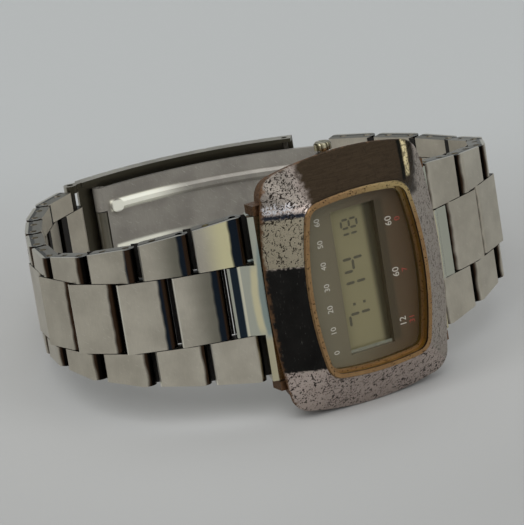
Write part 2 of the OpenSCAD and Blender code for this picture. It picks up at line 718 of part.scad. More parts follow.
module clasp_blade() color(steel) resting() {
    half = blade_w / 2;
    fork = hc + row_gap;
    fold_z = fold_knuckle + 0.15;
    rib_a0 = blade_a0 + arc_deg(rib_inset);
    rib_a1 = fold_a - arc_deg(rib_inset);
    difference() {
        union() {
            sector(arc_b, fold_a, blade_ri, blade_ro, -half, half);
            arc_at(fold_a, fold_r) translate([0, 0, -half]) cylinder(r = fold_eye_r, h = blade_w);
            arc_at(arc_b, clasp_r) translate([0, 0, -half]) cylinder(r = eye_r - 0.1, h = blade_w);
            for (s = [-1, 1]) {
                translate([arc_c[0], arc_c[1], s * rib_pitch / 2]) rotate([0, 0, rib_a0])
                    rotate_extrude(angle = rib_a1 - rib_a0, $fn = 96)
                        translate([blade_ri, 0]) polygon([[0.2, -rib_r], [-0.35 * rib_h, -0.9 * rib_r],
                            [-rib_h, -0.4 * rib_r], [-rib_h, 0.4 * rib_r],
                            [-0.35 * rib_h, 0.9 * rib_r], [0.2, rib_r]]);
                for (a = [rib_a0, rib_a1]) arc_at(a, blade_ri + 0.3)
                    translate([0, 0, s * rib_pitch / 2]) rotate([0, -90, 0])
                        cylinder(r = 1.25 * rib_r, h = 0.4 + rib_h);
            }
        }
        arc_at(arc_b, clasp_r) {
            translate([0, 0, -blade_w]) cylinder(r = pin_r + run, h = 2 * blade_w);
            translate([0, 0, -fork]) cylinder(r = link_r + 0.4, h = 2 * fork);
        }
        arc_at(fold_a, fold_r) {
            translate([0, 0, -blade_w]) cylinder(r = fold_pin_r + run, h = 2 * blade_w);
            translate([0, 0, -fold_z]) cylinder(r = fold_eye_r + 0.15, h = 2 * fold_z);
        }
    }
}

module blade_bar() color(dark_steel) resting() arc_at(arc_b, clasp_r)
    translate([0, 0, -blade_w / 2 + 0.15]) cylinder(r = pin_r, h = blade_w - 0.3);

module clasp_leaf() color(steel) resting() difference() {
    union() {
        sector(leaf_a0, fold_a, leaf_ri, leaf_ro, -leaf_w / 2, leaf_w / 2);
        arc_at(fold_a, fold_r) translate([0, 0, -fold_knuckle])
            cylinder(r = fold_eye_r, h = 2 * fold_knuckle);
    }
    arc_at(fold_a, fold_r) translate([0, 0, -blade_w])
        cylinder(r = fold_pin_r + run, h = 2 * blade_w);
    for (s = [-1, 1]) scale([1, 1, s]) arc_at(fold_a, fold_r) translate([0, 0, fold_knuckle])
        cylinder(r = fold_eye_r + 0.2, h = leaf_w);
}

module fold_pin() color(dark_steel) resting() arc_at(fold_a, fold_r)
    translate([0, 0, -blade_w / 2 + 0.15]) cylinder(r = fold_pin_r, h = blade_w - 0.3);

case_body();
window_rim();
crystal();
dial_mask();
lcd_front_glass();
lcd_rear_glass();
lcd_reflector();
connector_strips();
module_frame();
circuit_board();
driver_chip();
quartz_can();
trimmer();
battery();
battery_strap();
strap_screw();
contact_spring();
back_gasket();
case_back();
pusher_tube();
pusher();
pusher_spring();
pusher_seal();
pusher_clip();
end_link(-1);  // end_link_12
end_link(1);  // end_link_6
end_bar(-1);  // end_bar_12
end_bar(1);  // end_bar_6
link_12(1);  // link_12_1
link_12(2);  // link_12_2
link_12(3);  // link_12_3
link_12(4);  // link_12_4
link_12(5);  // link_12_5
link_12(6);  // link_12_6
link_12(7);  // link_12_7
link_12(8);  // link_12_8
link_12(9);  // link_12_9
link_6(1);  // link_6_1
link_6(2);  // link_6_2
link_6(3);  // link_6_3
link_6(4);  // link_6_4
link_6(5);  // link_6_5
link_6(6);  // link_6_6
link_6(7);  // link_6_7
clasp_cover();
cover_pin();
cover_bar();
clasp_blade();
blade_bar();
clasp_leaf();
fold_pin();
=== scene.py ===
import json
import math

import bmesh
import bpy
from mathutils import Matrix, Vector


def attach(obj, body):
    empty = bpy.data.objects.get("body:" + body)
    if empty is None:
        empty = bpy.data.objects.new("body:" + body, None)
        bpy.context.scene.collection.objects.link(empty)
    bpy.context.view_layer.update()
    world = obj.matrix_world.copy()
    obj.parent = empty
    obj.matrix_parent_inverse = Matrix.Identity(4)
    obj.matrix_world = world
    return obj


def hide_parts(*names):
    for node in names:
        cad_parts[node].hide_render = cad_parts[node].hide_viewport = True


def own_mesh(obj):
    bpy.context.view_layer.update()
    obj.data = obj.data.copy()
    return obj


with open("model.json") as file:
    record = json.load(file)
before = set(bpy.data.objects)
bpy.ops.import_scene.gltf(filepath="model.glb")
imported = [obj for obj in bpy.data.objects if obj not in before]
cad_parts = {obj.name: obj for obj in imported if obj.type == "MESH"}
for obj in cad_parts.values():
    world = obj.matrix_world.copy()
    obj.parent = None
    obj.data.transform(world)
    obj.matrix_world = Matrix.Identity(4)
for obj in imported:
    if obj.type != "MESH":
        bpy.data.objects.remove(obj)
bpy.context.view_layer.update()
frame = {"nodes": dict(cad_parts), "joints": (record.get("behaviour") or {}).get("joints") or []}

MM = 0.001
nodes = frame["nodes"]
joints = {joint["name"]: joint for joint in frame["joints"]}

# The dial's frame: u towards 6 o'clock, v towards 3 o'clock, w out of the dial
TO_6 = Vector((1, 0, 0))
TO_3 = Vector(joints["hinge_12_1"]["axis"]).normalized()
TO_FRONT = TO_6.cross(TO_3)


def span(node, direction):
    """Lowest and highest place of a CAD node along a direction."""
    places = [vertex.co.dot(direction) for vertex in nodes[node].data.vertices]
    return min(places), max(places)


def middle(node, direction):
    return sum(span(node, direction)) / 2


def extent(node, direction):
    low, high = span(node, direction)
    return high - low


# The window's middle, and the levels of the mask and the display
MID_U = middle("crystal", TO_6)
MID_V = middle("crystal", TO_3)
MASK_W = span("dial_mask", TO_FRONT)[1]
LCD_W = span("lcd_front_glass", TO_FRONT)[1]

# Level of the bezel's outer edge in millimetres from the mask, and how far the window's length
# passes its width, which is where the facets' corner lines run
EDGE_OVER_END_LINK = 1.05
EDGE_W = (span("end_link_12", TO_FRONT)[1] - MASK_W) / MM + EDGE_OVER_END_LINK
CORNER_OFFSET = (extent("window_rim", TO_3) - extent("window_rim", TO_6)) / 2 / MM


def on_dial(u, v, w):
    """Place of the dial millimetres u and v from the window's middle, at the level w in metres."""
    return TO_6 * (MID_U + u * MM) + TO_3 * (MID_V + v * MM) + TO_FRONT * w


def srgb(red, green, blue):
    """A colour of 0 to 255 per channel as linear values."""
    def linear(c):
        c /= 255
        return c / 12.92 if c <= 0.04045 else ((c + 0.055) / 1.055) ** 2.4
    return linear(red), linear(green), linear(blue), 1.0


def darker(colour, share):
    return srgb(*[c * share for c in colour])


class Shader:
    """A material's node tree, with short calls for the nodes that repeat."""

    def __init__(self, name, metallic=0.0, roughness=0.5, specular=0.5):
        self.material = bpy.data.materials.new(name)
        self.material.use_nodes = True
        self.tree = self.material.node_tree
        self.surface = self.tree.nodes["Principled BSDF"]
        self.surface.inputs["Metallic"].default_value = metallic
        self.surface.inputs["Roughness"].default_value = roughness
        self.surface.inputs["Specular IOR Level"].default_value = specular
        place = self.new("ShaderNodeTexCoord")
        self.place, self.normal = place.outputs["Object"], place.outputs["Normal"]

    def new(self, kind, **settings):
        node = self.tree.nodes.new(kind)
        for key, value in settings.items():
            setattr(node, key, value)
        return node

    def feed(self, socket, value):
        if isinstance(value, bpy.types.NodeSocket):
            self.tree.links.new(value, socket)
        else:
            socket.default_value = value

    def math(self, operation, *values):
        node = self.new("ShaderNodeMath", operation=operation)
        for socket, value in zip(node.inputs, values):
            self.feed(socket, value)
        return node.outputs[0]

    def chain(self, operation, values):
        result = values[0]
        for value in values[1:]:
            result = self.math(operation, result, value)
        return result

    def plus(self, *values):
        return self.chain("ADD", values)

    def times(self, *values):
        return self.chain("MULTIPLY", values)

    def most(self, *values):
        return self.chain("MAXIMUM", values)

    def minus(self, first, second):
        return self.math("SUBTRACT", first, second)

    def absolute(self, value):
        return self.math("ABSOLUTE", value)

    def along(self, direction, origin=0.0):
        """Place along a direction, in millimetres from an origin in metres."""
        node = self.new("ShaderNodeVectorMath", operation="DOT_PRODUCT")
        self.feed(node.inputs[0], self.place)
        node.inputs[1].default_value = direction / MM
        return self.minus(node.outputs["Value"], origin / MM)

    def facing(self, direction):
        """How far the surface faces a direction, from -1 to 1."""
        node = self.new("ShaderNodeVectorMath", operation="DOT_PRODUCT")
        self.feed(node.inputs[0], self.normal)
        node.inputs[1].default_value = direction
        return node.outputs["Value"]

    def vector(self, x, y, z=0.0):
        node = self.new("ShaderNodeCombineXYZ")
        for socket, value in zip(node.inputs, (x, y, z)):
            self.feed(socket, value)
        return node.outputs[0]

    def dial_place(self):
        return self.along(TO_6, MID_U), self.along(TO_3, MID_V), self.along(TO_FRONT, MASK_W)

    def noise(self, place, scale, detail=3.0, roughness=0.5, distortion=0.0):
        node = self.new("ShaderNodeTexNoise")
        self.feed(node.inputs["Vector"], place)
        self.feed(node.inputs["Scale"], scale)
        self.feed(node.inputs["Detail"], detail)
        self.feed(node.inputs["Roughness"], roughness)
        self.feed(node.inputs["Distortion"], distortion)
        return node.outputs["Fac"]

    def cells(self, place, scale, feature="F1"):
        node = self.new("ShaderNodeTexVoronoi", feature=feature)
        self.feed(node.inputs["Vector"], place)
        self.feed(node.inputs["Scale"], scale)
        return node.outputs["Distance"]

    def step(self, value, low, high):
        """0 below low, 1 above high, smooth between; with low over high it falls instead."""
        node = self.new("ShaderNodeMapRange", interpolation_type="SMOOTHSTEP")
        self.feed(node.inputs["Value"], value)
        node.inputs["From Min"].default_value = min(low, high)
        node.inputs["From Max"].default_value = max(low, high)
        if low > high:
            node.inputs["To Min"].default_value = 1.0
            node.inputs["To Max"].default_value = 0.0
        return node.outputs["Result"]

    def within(self, value, low, high, soft):
        return self.times(self.step(value, low - soft, low + soft),
                          self.step(value, high + soft, high - soft))

    def mix(self, share, first, second):
        node = self.new("ShaderNodeMix", data_type="RGBA")
        self.feed(node.inputs[0], share)
        self.feed(node.inputs[6], first)
        self.feed(node.inputs[7], second)
        return node.outputs[2]

    def blend(self, share, first, second):
        node = self.new("ShaderNodeMix", data_type="FLOAT")
        self.feed(node.inputs[0], share)
        self.feed(node.inputs[2], first)
        self.feed(node.inputs[3], second)
        return node.outputs[0]

    def bump(self, height, depth, strength):
        """Relief of the surface; depth is the height's full range in millimetres."""
        node = self.new("ShaderNodeBump")
        node.inputs["Strength"].default_value = strength
        node.inputs["Distance"].default_value = depth * MM
        self.feed(node.inputs["Height"], height)
        self.tree.links.new(node.outputs[0], self.surface.inputs["Normal"])

    def colour(self, value):
        self.feed(self.surface.inputs["Base Color"], value)

    def rough(self, value):
        self.feed(self.surface.inputs["Roughness"], value)

    def metallic(self, value):
        self.feed(self.surface.inputs["Metallic"], value)


# Patches of the bezel's reflections towards 12 o'clock, as ranges of v in dial millimetres
MIRROR = (-11.3, 4.6)
CREAM = (4.6, 11.9)
BLUE_LINE = (11.8, 12.5)
FLASH = (12.5, 13.9)

# The brown facet towards 3 o'clock, as a range of u
BROWN = (-7.5, 11.0)

# Painted dark reflections and a painted highlight, in bands that cross the corner between 3 and 6
# o'clock, as ranges of u at the v where they start.
# They run at a slant, SLANT millimetres in u for each one in v.
DARK_REFLECTION_BAND = (9.9, 13.0)
BLACK_REFLECTION_BAND = (9.9, 10.6)
HIGHLIGHT_BAND = (10.7, 11.6)
SLANT, SLANT_FROM_V = 0.33, 18.0


def bezel_pits(s, dial, place, warp, patchy):
    """Share of pits of several sizes and of cracks, closest in the corner by 12 and 3 o'clock."""
    u, v, w = dial
    bent = s.vector(s.plus(u, s.times(warp, 1.4)), s.plus(v, s.times(warp, 1.8)), w)
    corner = s.times(s.step(v, 11.6, 13.4), s.step(u, -5.0, -8.0))
    crowd = s.minus(s.times(patchy, 0.35), s.times(corner, 0.05))
    big = s.step(s.plus(s.cells(bent, 1.15), crowd), 0.36, 0.30)
    small = s.step(s.plus(s.cells(bent, 2.3), crowd), 0.47, 0.39)
    specks = s.step(s.plus(s.cells(place, 4.2), crowd), 0.44, 0.36)
    dust = s.step(s.noise(place, 7.5, 3.0, 0.75), 0.57, 0.64)
    cracks = s.times(s.step(s.cells(bent, 0.7, "DISTANCE_TO_EDGE"), 0.06, 0.025),
                     s.step(s.noise(place, 1.1, 3.0), 0.49, 0.54))
    return s.most(big, small, cracks, s.times(specks, 0.8), s.times(dust, 0.35))


def worn_bezel():
    """Chrome whose plating is pitted and cracked, with painted reflections and highlights: a dark
    reflection on the 12 side, and others beside it and across the corner between 3 and 6 o'clock.
    """
    s = Shader("case_chrome", metallic=1.0)
    dial = s.dial_place()
    u, v, w = dial
    place = s.vector(u, v, w)
    warp = s.noise(place, 1.3, 4.0)
    patchy = s.noise(place, 0.35, 3.0)
    pits = bezel_pits(s, dial, place, warp, patchy)

    # Facets towards 12 and 6, told apart along the lines from the window's corners to the case's
    corner_line = s.minus(s.absolute(v), CORNER_OFFSET)
    facet_12 = s.times(s.step(s.minus(s.times(u, -1.0), corner_line), -0.25, 0.25),
                       s.step(u, -5.0, -6.0))
    facet_6 = s.step(s.minus(u, corner_line), -0.25, 0.25)

    # Places that the patches are cut along, ragged as the wear is
    ragged = s.times(s.minus(warp, 0.5), 2.2)
    u_ragged = s.plus(u, ragged)
    v_ragged = s.plus(v, s.times(ragged, 0.4))
    v_frayed = s.plus(v, s.times(s.minus(s.noise(place, 2.2, 4.0), 0.5), 0.9))
    slanted = s.plus(u, s.times(s.minus(SLANT_FROM_V, v), SLANT), s.times(ragged, 0.15))

    # Painted reflections and highlights, and worn patches, as in the photograph
    mirror = s.times(facet_12, s.within(v_frayed, *MIRROR, 0.2))
    cream = s.times(facet_12, s.within(v, *CREAM, 0.2))
    blue_line = s.times(facet_12, s.within(v_frayed, *BLUE_LINE, 0.25))
    flash = s.times(s.within(v_ragged, *FLASH, 0.35), s.step(u_ragged, -9.0, -10.5),
                    s.step(s.noise(place, 3.0, 2.0, 0.6), 0.44, 0.54))
    corner_12 = s.times(s.step(v, 13.0, 14.0), s.step(u_ragged, -6.0, -9.5))
    brown = s.times(s.step(v, 10.0, 11.0), s.within(u_ragged, *BROWN, 0.9),
                    s.minus(1.0, facet_12))
    # Painted reflections and a painted highlight, in bands across the corner between 3 and 6
    # o'clock
    corner_6 = s.step(v, 12.6, 13.2)
    dark_reflection_band = s.times(corner_6, s.within(slanted, *DARK_REFLECTION_BAND, 0.45))
    black_reflection_band = s.times(corner_6, s.within(slanted, *BLACK_REFLECTION_BAND, 0.15))
    painted_highlight_band = s.times(s.step(v, 13.0, 13.6), s.within(slanted, *HIGHLIGHT_BAND, 0.22),
                         s.blend(s.step(s.noise(place, 3.0, 2.0), 0.42, 0.5), 0.35, 1.0))

    streaks = s.noise(s.vector(s.times(u, 0.5), s.times(v, 6.0), w), 1.0, 4.0)
    scratches = s.noise(s.vector(s.times(u, 3.0), s.times(v, 0.5), w), 2.0, 4.0, 0.7)
    mauve = s.mix(s.noise(place, 0.5, 3.0), srgb(176, 161, 152), srgb(198, 184, 176))
    near_black = s.mix(patchy, srgb(22, 22, 22), srgb(46, 45, 43))
    plate = s.mix(facet_6, mauve, srgb(168, 158, 148))
    for share, colour in (
            (corner_12, srgb(142, 134, 125)),
            (cream, srgb(160, 151, 131)),
            (flash, srgb(214, 212, 214)),
            (blue_line, srgb(44, 47, 55)),
            (dark_reflection_band, srgb(52, 46, 38)),
            (brown, s.mix(streaks, srgb(44, 36, 27), srgb(70, 59, 46))),
            (black_reflection_band, srgb(22, 22, 18)),
            (painted_highlight_band, srgb(226, 210, 164)),
            (mirror, s.mix(s.step(scratches, 0.62, 0.72), near_black, srgb(104, 102, 98)))):
        plate = s.mix(share, plate, colour)

    # How dark the pits show: most on the plain plating, least where it mirrors
    depth = s.blend(mirror, s.blend(brown, s.blend(facet_6, 0.92, 0.6), 0.25), 0.1)
    pits = s.times(pits, depth)

    # The plating is worn through to brown metal along the outer edge and down the side wall
    worn = s.minus(s.times(warp, 1.2), s.times(facet_12, 0.3))
    edge = s.step(s.plus(w, worn), EDGE_W + 0.85, EDGE_W + 0.35)
    brown_metal = s.mix(s.noise(place, 2.0, 4.0), srgb(136, 102, 74), srgb(64, 50, 40))
    s.colour(s.mix(edge, s.mix(pits, plate, srgb(34, 27, 23)), brown_metal))
    s.rough(s.blend(pits, s.blend(mirror, s.blend(patchy, 0.26, 0.46), 0.12), 0.7))
    s.bump(s.minus(1.0, pits), 0.05, 0.6)
    return s.material


def worn_gold():
    """Worn gold plate, rosy to golden, with a dark line and a yellow wall on its inner side."""
    s = Shader("rim_gold", metallic=1.0)
    u, v, w = s.dial_place()
    place = s.vector(u, v, w)
    wear = s.noise(place, 0.8, 4.0)
    face = s.mix(wear, srgb(144, 110, 80), srgb(178, 145, 100))
    golden = s.times(s.step(v, 6.0, 13.0), s.step(u, -4.0, 8.0))
    face = s.mix(golden, face, srgb(190, 168, 118))
    nicks = s.step(s.noise(place, 3.2, 3.0, 0.7), 0.57, 0.65)
    face = s.mix(nicks, face, srgb(50, 34, 24))
    wall = s.mix(s.step(w, 1.55, 1.75), srgb(134, 108, 26), srgb(18, 13, 8))
    s.colour(s.mix(s.step(s.facing(TO_FRONT), 0.6, 0.4), face, wall))
    s.rough(s.blend(nicks, 0.32, 0.7))
    s.bump(s.minus(wear, nicks), 0.04, 0.6)
    return s.material


def crystal_glass():
    """Clear glass with a little haze and a few hairline scratches."""
    s = Shader("crystal", roughness=0.04, specular=0.12)
    u, v, w = s.dial_place()
    haze = s.noise(s.vector(u, v, w), 0.5, 4.0)
    scratches = s.noise(s.vector(s.times(u, 6.0), s.times(v, 0.4), w), 1.2, 3.0, 0.7)
    s.colour(srgb(150, 140, 112))
    s.feed(s.surface.inputs["Alpha"],
           s.plus(s.blend(haze, 0.008, 0.03), s.times(s.step(scratches, 0.66, 0.74), 0.03)))
    return s.material


def mask_paint():
    """Printed plate: olive towards 12, brown towards 6, with painted shade beside the display's
    opening.
    """
    s = Shader("mask", roughness=0.42, specular=0.35)
    u, v, w = s.dial_place()
    grain = s.noise(s.vector(u, v, w), 9.0, 3.0)
    paint = s.mix(s.step(u, -8.0, 8.0), srgb(108, 102, 83), srgb(70, 51, 30))
    # Painted shade on the mask beside the display's recess
    beside = s.times(s.step(u, 3.2, 3.5), s.step(u, 5.4, 4.6), s.within(v, -10.6, 11.0, 0.6))
    paint = s.mix(s.times(beside, 0.85), paint, srgb(50, 42, 25))
    s.colour(s.mix(s.times(grain, 0.15), paint, srgb(104, 92, 70)))
    s.bump(grain, 0.01, 0.3)
    return s.material


def lcd_glass():
    """Grey-green display, in the recess's shade along its 6 o'clock side."""
    s = Shader("lcd", roughness=0.3, specular=0.3)
    u, v, w = s.dial_place()
    place = s.vector(u, v, w)
    base = s.mix(s.noise(place, 0.25, 3.0), srgb(131, 124, 93), srgb(122, 116, 86))
    shade = s.step(s.plus(u, s.times(v, 0.03)), 1.9, 3.0)
    base = s.mix(shade, base, srgb(44, 37, 20))
    s.colour(s.mix(s.times(s.noise(place, 14.0, 2.0), 0.12), base, srgb(166, 160, 126)))
    return s.material


def brushed(name, light, dark, roughness):
    """Steel with fine scratches along the loop's axis and a few random ones.

    It gives the shader and its colour, so that a piece's own marks can be laid over it.
    """
    s = Shader(name, metallic=1.0)
    across, up, deep = s.along(TO_6), s.along(TO_3), s.along(TO_FRONT)
    grain = s.noise(s.vector(s.times(across, 5.0), s.times(up, 0.5), s.times(deep, 5.0)),
                    1.6, 4.0, 0.65)
    cloud = s.step(s.noise(s.vector(across, up, deep), 0.22, 3.0), 0.3, 0.7)
    slope = s.plus(across, up)
    scuffs = s.step(s.noise(s.vector(slope, s.times(up, 3.0), deep), 1.1, 5.0, 0.75, 1.5),
                    0.62, 0.70)
    hairs = s.step(s.noise(s.vector(s.times(slope, 4.0), s.times(s.minus(up, across), 0.35), deep),
                           1.4, 4.0, 0.7), 0.60, 0.68)
    colour = s.mix(cloud, srgb(*light), srgb(*dark))
    colour = s.mix(s.times(hairs, 0.45), colour, srgb(238, 234, 222))
    colour = s.mix(s.times(grain, 0.35), colour, darker(dark, 0.72))
    s.colour(s.mix(s.times(scuffs, 0.35), colour, srgb(226, 222, 212)))
    s.rough(s.blend(grain, roughness - 0.05, roughness + 0.12))
    s.bump(grain, 0.012, 0.5)
    return s, colour


def plain(name, colour, roughness, metallic=0.0, grain_scale=4.0):
    """Inside parts: one colour with a fine grain and a little relief."""
    s = Shader(name, metallic=metallic)
    grain = s.noise(s.vector(s.along(TO_6), s.along(TO_3), s.along(TO_FRONT)), grain_scale, 4.0)
    s.colour(s.mix(s.times(grain, 0.4), srgb(*colour), darker(colour, 0.7)))
    s.rough(s.blend(grain, roughness - 0.08, roughness + 0.08))
    s.bump(grain, 0.01, 0.4)
    return s.material


# Pitch of the links, and half width of their centre row, in millimetres
PITCH = (Vector(joints["hinge_12_2"]["pos_m"]) - Vector(joints["hinge_12_1"]["pos_m"])).length / MM
CENTRE_ROW = 5.3

# Painted reflection and shade along a link's rounded end: its colours from the face to the gap,
# and the places where they change, in millimetres past its pin
END_NAVY, END_BROWN, END_BLACK = srgb(32, 40, 50), srgb(60, 45, 34), srgb(12, 10, 8)
NAVY_FROM, BROWN_FROM = (-0.6, -0.3), (-1.15, -0.95)


def link_flank(s, out, off_axis):
    """Colour of a link's flank: a painted highlight on its outer edge, a dark line of painted
    shade, and painted shade between the rows.
    """
    flank = s.mix(s.step(out, 0.1, 0.3), srgb(126, 122, 112), srgb(40, 37, 31))
    flank = s.mix(s.step(out, 0.75, 0.85), flank, srgb(206, 202, 190))
    return s.mix(s.step(off_axis, CENTRE_ROW + 0.6, CENTRE_ROW + 0.2), flank, srgb(30, 26, 21))


def link_steel(name, hinge, direction, outward, look):
    """Brushed link: its rounded end, which faces the case, is polished and has a painted dark
    reflection and shade.

    look gives, for the 3 o'clock row, the centre and the 9 o'clock row, how far the painted dark
    end reaches and how strongly painted shade dims the face towards it; then how strong the painted
    golden highlight on the 3 o'clock row is.
    """
    reaches, dims, golden = look
    s, colour = brushed(name, (210, 203, 187), (191, 184, 169), 0.30)
    up = s.along(TO_3)
    out = s.along(outward, hinge.dot(outward))
    from_middle = s.minus(up, MID_V / MM)
    off_axis = s.absolute(from_middle)
    centre = s.step(off_axis, CENTRE_ROW + 0.1, CENTRE_ROW + 0.02)
    row_3 = s.step(from_middle, CENTRE_ROW + 0.02, CENTRE_ROW + 0.1)
    along = s.minus(s.along(direction, hinge.dot(direction)), s.times(centre, PITCH / 2))

    # Painted shade dims the face towards the dark end, or a painted golden highlight lights it,
    # along a slightly wavy line
    wave = s.times(s.minus(s.noise(s.vector(up, 0.0), 0.3, 1.0), 0.5), 0.6)
    reach = s.blend(centre, s.blend(row_3, reaches[2], reaches[0]), reaches[1])
    dimming = s.blend(centre, s.blend(row_3, dims[2], dims[0]), dims[1])
    past = s.minus(s.plus(along, wave), reach)
    colour = s.mix(s.times(s.step(past, 4.8, 0.1), dimming), colour, srgb(104, 102, 90))
    if golden:
        golden_highlight_patch = s.times(row_3, s.step(past, 4.6, 0.8))
        colour = s.mix(s.times(golden_highlight_patch, golden), colour, srgb(232, 224, 178))
    # Painted dark reflection and shade on the rounded end
    dark = s.step(past, 0.25, -0.25)
    deep = s.mix(s.step(along, *NAVY_FROM), END_BROWN, END_NAVY)
    deep = s.mix(s.step(along, *BROWN_FROM), END_BLACK, deep)
    colour = s.mix(dark, colour, deep)

    # The flank's painted highlight and painted shade
    flank = s.step(s.absolute(s.facing(TO_3)), 0.7, 0.85)
    colour = s.mix(flank, colour, link_flank(s, out, off_axis))
    # Painted highlight: a thin bright line near the links' square ends, on their outer side
    painted_edge_highlight = s.times(s.step(along, 5.85, 5.92), s.step(out, 1.0, 1.1))
    s.colour(s.mix(painted_edge_highlight, colour, srgb(232, 228, 214)))
    s.rough(s.blend(dark, 0.32, 0.14))
    s.metallic(s.blend(s.step(s.facing(outward), -0.5, -0.7), 1.0, 0.45))
    return s.material


# Bands of painted reflection and highlight on the end links, in millimetres of u: two follow the
# case's bowed edge, which is nearer to the dial by CASE_BOW times v squared, and two cross the 12
# o'clock link's tongue
TEAL_BAND, GOLD_BAND, CASE_BOW = (14.2, 15.3), (15.35, 16.1), 1 / 92
NAVY_BAND, CREAM_BAND = (17.3, 18.35), (16.9, 17.2)


def end_link_steel():
    """Polished, with painted cream, teal and gold reflections that run along the case's edge, and a
    painted navy reflection and cream highlight line across the tongue.
    """
    s = Shader("end_link_steel", metallic=1.0)
    u, v, w = s.dial_place()
    bow = s.plus(s.absolute(u), s.times(v, v, CASE_BOW),
                 s.times(s.noise(s.vector(u, v, w), 0.3, 2.0), 0.25))
    teal = s.times(s.within(bow, *TEAL_BAND, 0.25), s.step(v, -6.0, -5.0))
    gold = s.times(s.within(bow, *GOLD_BAND, 0.22), s.within(v, -5.0, 5.4, 1.4))
    tongue = s.times(u, -1.0)
    colour = s.mix(s.step(v, -6.5, -5.5), srgb(206, 198, 168), srgb(194, 196, 182))
    for share, band in ((s.times(teal, 0.75), srgb(140, 160, 158)),
                        (s.times(gold, 0.85), srgb(240, 230, 188)),
                        (s.within(tongue, *NAVY_BAND, 0.08), srgb(40, 50, 60)),
                        (s.within(tongue, *CREAM_BAND, 0.08), srgb(236, 230, 206))):
        colour = s.mix(share, colour, band)
    s.colour(colour)
    scratches = s.noise(s.vector(s.times(u, 5.0), v, w), 3.0, 4.0, 0.7)
    s.rough(s.blend(scratches, 0.14, 0.28))
    s.bump(scratches, 0.008, 0.4)
    return s.material


# Bands of painted highlight at the two ribs of the clasp's blade, as ranges of v in dial
# millimetres
RIB_3, RIB_9 = (3.2, 5.0), (-5.0, -2.2)


def blade_steel():
    """Matt inside of the clasp's blade, with painted highlights at its ribs' 12 o'clock ends."""
    s, colour = brushed("blade_steel", (176, 171, 162), (156, 151, 143), 0.42)
    u, v, w = s.dial_place()
    ribs = s.most(s.within(v, *RIB_3, 0.2), s.within(v, *RIB_9, 0.25))
    # Painted highlight at the ribs' 12 o'clock ends
    shine = s.times(ribs, s.step(u, 4.0, -4.0), s.step(u, -10.7, -10.3))
    s.colour(s.mix(shine, colour, srgb(252, 251, 236)))
    s.metallic(s.blend(shine, 0.55, 0.1))
    return s.material


def clasp_steel(name, inside_shade_tone):
    """Clasp sheet, light outside, with painted shade on its side towards the wrist."""
    s, colour = brushed(name, (200, 196, 184), (168, 163, 152), 0.34)
    # Painted shade on the side towards the wrist
    inside = s.step(s.facing(TO_FRONT), 0.4, 0.6)
    s.colour(s.mix(inside, colour, srgb(*inside_shade_tone)))
    return s.material


def pusher_steel():
    """Turned cap with upright reflections."""
    s = Shader("pusher_steel", metallic=1.0)
    u, v, w = s.dial_place()
    stripes = s.noise(s.vector(s.times(u, 2.2), 0.0), 1.0, 1.0)
    s.colour(s.mix(s.step(stripes, 0.45, 0.55), srgb(92, 84, 62), srgb(214, 206, 176)))
    s.rough(s.blend(s.noise(s.vector(u, v, w), 6.0, 3.0), 0.12, 0.3))
    return s.material


def sill_highlight():
    """Painted highlight of the recess glass's edge: a light, cloudy strip."""
    s = Shader("sill_highlight", roughness=0.15)
    clouds = s.noise(s.vector(*s.dial_place()), 1.2, 4.0)
    s.colour(s.mix(clouds, srgb(150, 150, 132), srgb(84, 84, 72)))
    return s.material


def soften(node, width):
    """Small bevel on a CAD node's sharp edges, as polishing leaves; the width is in millimetres."""
    modifier = nodes[node].modifiers.new("soft edges", "BEVEL")
    modifier.width = width * MM
    modifier.segments = 2
    modifier.limit_method = "ANGLE"
    modifier.angle_limit = math.radians(38)
    modifier.harden_normals = True


def dress(node, material):
    materials = nodes[node].data.materials
    materials.clear()
    materials.append(material)


def mesh_data(name, mesh):
    """Finished mesh of a bmesh, with its faces turned outwards."""
    bmesh.ops.recalc_face_normals(mesh, faces=mesh.faces)
    data = bpy.data.meshes.new(name)
    mesh.to_mesh(data)
    mesh.free()
    return data


def place_in_scene(name, data):
    holder = bpy.data.objects.new(name, data)
    bpy.context.scene.collection.objects.link(holder)
    return holder


def add_piece(name, data, material, body):
    """New piece with one material, which rides on a body."""
    data.materials.clear()
    data.materials.append(material)
    piece = place_in_scene(name, data)
    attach(piece, body)
    return piece


# Materials of the CAD nodes
pin_steel = plain("pin_steel", (84, 80, 73), 0.4, 1.0)
brass = plain("contact_brass", (176, 148, 96), 0.35, 1.0)
rubber = plain("black_rubber", (30, 30, 30), 0.8)
lcd = lcd_glass()
end_steel = end_link_steel()

dress("case_body", worn_bezel())
dress("window_rim", worn_gold())
dress("crystal", crystal_glass())
dress("dial_mask", mask_paint())
dress("lcd_reflector", plain("reflector", (190, 190, 178), 0.35, 1.0))
dress("module_frame", plain("frame_plastic", (214, 208, 186), 0.55))
dress("circuit_board", plain("board", (34, 96, 58), 0.45, 0.0, 8.0))
dress("driver_chip", plain("chip", (34, 34, 36), 0.6))
dress("pusher", pusher_steel())
dress("case_back", brushed("back_steel", (178, 174, 166), (150, 146, 138), 0.36)[0].material)
dress("clasp_cover", clasp_steel("cover_steel", (88, 84, 72)))
dress("clasp_blade", blade_steel())
dress("clasp_leaf", clasp_steel("leaf_steel", (140, 136, 124)))
for name in ("quartz_can", "battery", "strap_screw"):
    dress(name, plain(name + "_steel", (186, 184, 178), 0.3, 1.0))
for material, names in (
        (lcd, ("lcd_front_glass", "lcd_rear_glass")),
        (end_steel, ("end_link_12", "end_link_6")),
        (brass, ("trimmer", "battery_strap", "contact_spring")),
        (rubber, ("connector_strips", "back_gasket", "pusher_seal")),
        (pin_steel, ("pusher_tube", "pusher_spring", "pusher_clip", "end_bar_12", "end_bar_6",
                     "cover_pin", "cover_bar", "blade_bar", "fold_pin"))):
    for name in names:
        dress(name, material)

